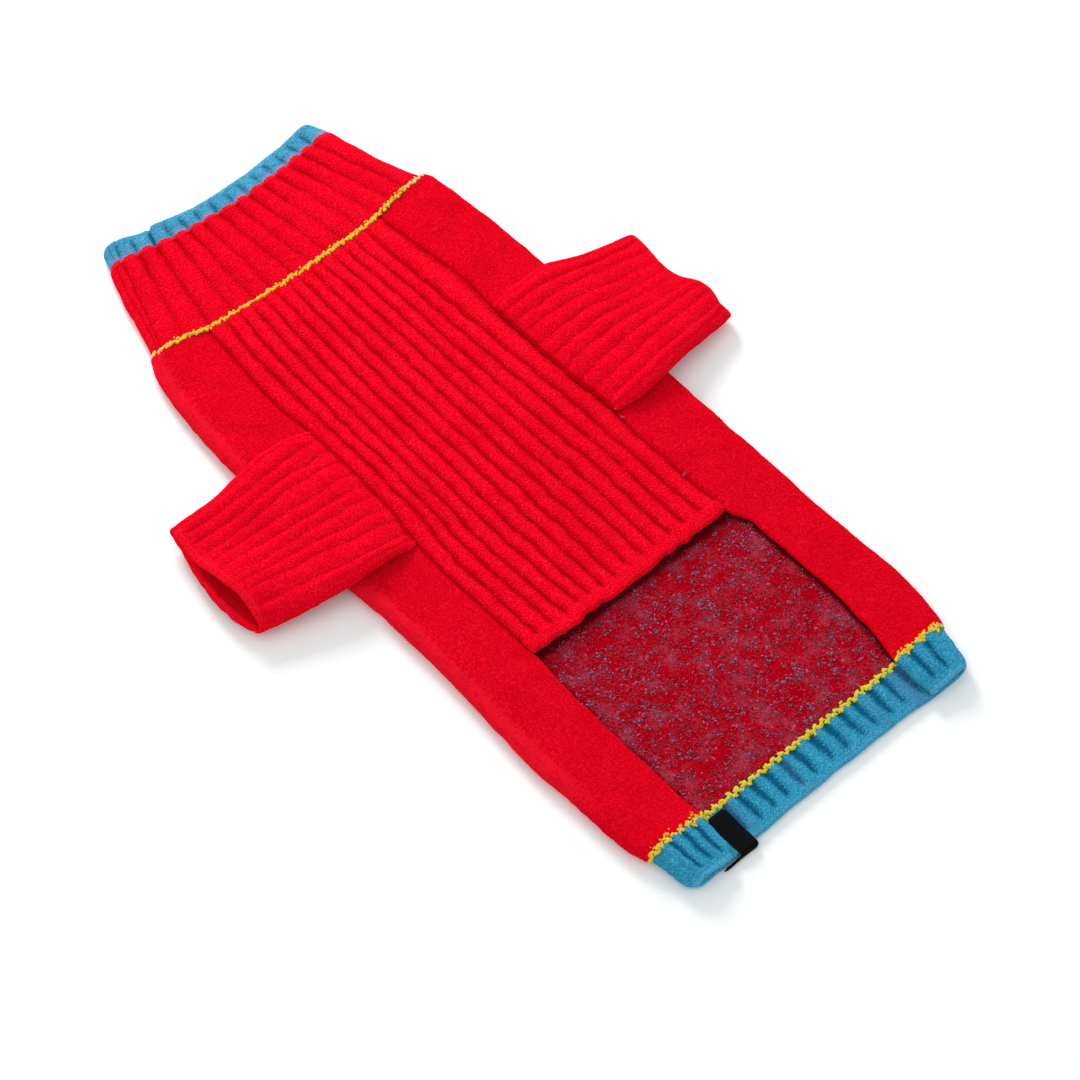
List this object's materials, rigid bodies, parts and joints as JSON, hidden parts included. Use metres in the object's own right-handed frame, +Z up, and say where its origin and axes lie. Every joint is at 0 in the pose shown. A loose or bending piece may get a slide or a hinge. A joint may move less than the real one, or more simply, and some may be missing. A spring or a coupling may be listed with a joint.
{
  "type": "dog sweater",
  "caption": "Knitted dog sweater laid flat belly side up, with a turtleneck collar, ribbed belly panel, short leg sleeves, a cut-out behind the belly and a striped hem border.",
  "frame": {"origin": "middle of the laid-out outline, on the surface that the sweater lies on", "axes": "+Z up, +Y toward the neck, +X across the body to the wearer's left when the belly faces up"},
  "size_m": [0.2833, 0.4401, 0.0151],
  "materials": {
    "red_jersey": "plain felted wool knit, matt and fuzzy",
    "red_rib": "felted wool rib knit, matt and fuzzy",
    "blue_rib": "felted wool rib knit, matt and fuzzy",
    "yellow_yarn": "twisted wool joining row",
    "black_label": "smooth woven ribbon"
  },
  "bodies": {
    "root": {"back_panel": "red_jersey", "belly_panel": "red_rib", "neck_collar": "red_rib", "neck_border": "blue_rib", "hem_border": "blue_rib", "sleeve_left": "red_rib", "sleeve_right": "red_rib", "label": "black_label"}
  },
  "joints": []
}
